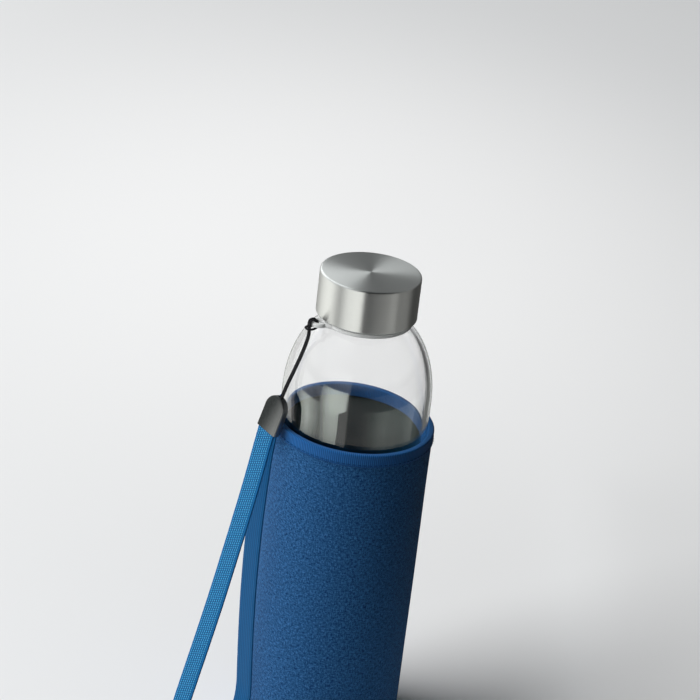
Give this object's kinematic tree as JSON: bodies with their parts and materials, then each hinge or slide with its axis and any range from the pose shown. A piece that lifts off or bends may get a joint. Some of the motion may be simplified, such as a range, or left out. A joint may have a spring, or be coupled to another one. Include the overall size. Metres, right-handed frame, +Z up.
{
  "type": "water bottle",
  "caption": "Clear glass water bottle with a brushed steel screw cap, a padded cloth sleeve and a woven wrist strap on a corded swivel ring.",
  "frame": {"origin": "centre of the sleeve's underside, on the bottle's axis, at table level", "axes": "+Z up along the bottle's axis, -Y towards the front, the strap hangs towards -X and -Y"},
  "size_m": [0.1004, 0.0839, 0.223],
  "materials": {
    "clear_glass": "clear, polished",
    "brushed_steel": "brushed stainless, sunburst on the top and fine turning lines on the side",
    "liner_plastic": "moulded translucent polypropylene",
    "silicone": "translucent silicone, matt",
    "ring_plastic": "translucent grey, softly polished",
    "black_cord": "fine braided cord",
    "gunmetal": "dark plated metal, satin",
    "strap_webbing": "flat woven webbing, slight sheen",
    "sleeve_cloth": "heathered canvas, matt",
    "binding_tape": "ribbed edging tape, slight sheen",
    "lining_cloth": "smooth knitted lining",
    "sleeve_foam": "closed-cell foam",
    "sewing_thread": "polyester sewing thread"
  },
  "bodies": {
    "sleeve": {"sleeve_lining": "lining_cloth", "sleeve_foam": "sleeve_foam", "sleeve_cover": "sleeve_cloth", "top_binding": "binding_tape", "binding_stitching": "sewing_thread", "side_seam": "sewing_thread", "base_cover": "sleeve_cloth", "base_foam": "sleeve_foam", "base_lining": "lining_cloth", "base_stitching": "sewing_thread"},
    "bottle": {"glass_body": "clear_glass"},
    "seal": {"cap_seal": "silicone"},
    "cap": {"cap_shell": "brushed_steel", "cap_liner": "liner_plastic"},
    "ring": {"strap_ring": "ring_plastic"},
    "lanyard": {"lanyard_cord": "black_cord", "cord_knot": "black_cord", "cord_clip": "gunmetal", "wrist_strap": "strap_webbing"}
  },
  "joints": [
    {"name": "bottle_slide", "type": "slide", "parent": "sleeve", "child": "bottle", "axis": [0, 0, 1], "range_m": [0, 0.16]},
    {"name": "cap_rise", "type": "slide", "parent": "bottle", "child": "seal", "axis": [0, 0, 1], "range_m": [0, 0.0181]},
    {"name": "cap_turn", "type": "hinge", "parent": "seal", "child": "cap", "pos_m": [0, 0, 0.212], "axis": [0, 0, 1], "range_deg": [0, 810]},
    {"name": "ring_turn", "type": "hinge", "parent": "bottle", "child": "ring", "pos_m": [0, 0, 0.2022], "axis": [0, 0, 1], "continuous": true},
    {"name": "lanyard_swing", "type": "hinge", "parent": "ring", "child": "lanyard", "pos_m": [-0.02147, -0.0129, 0.2022], "axis": [-0.515, 0.8572, 0], "range_deg": [0, 80]}
  ],
  "couplings": [
    {"joint": "cap_rise", "follows": "cap_turn", "m_per_rad": 0.0012732}
  ]
}
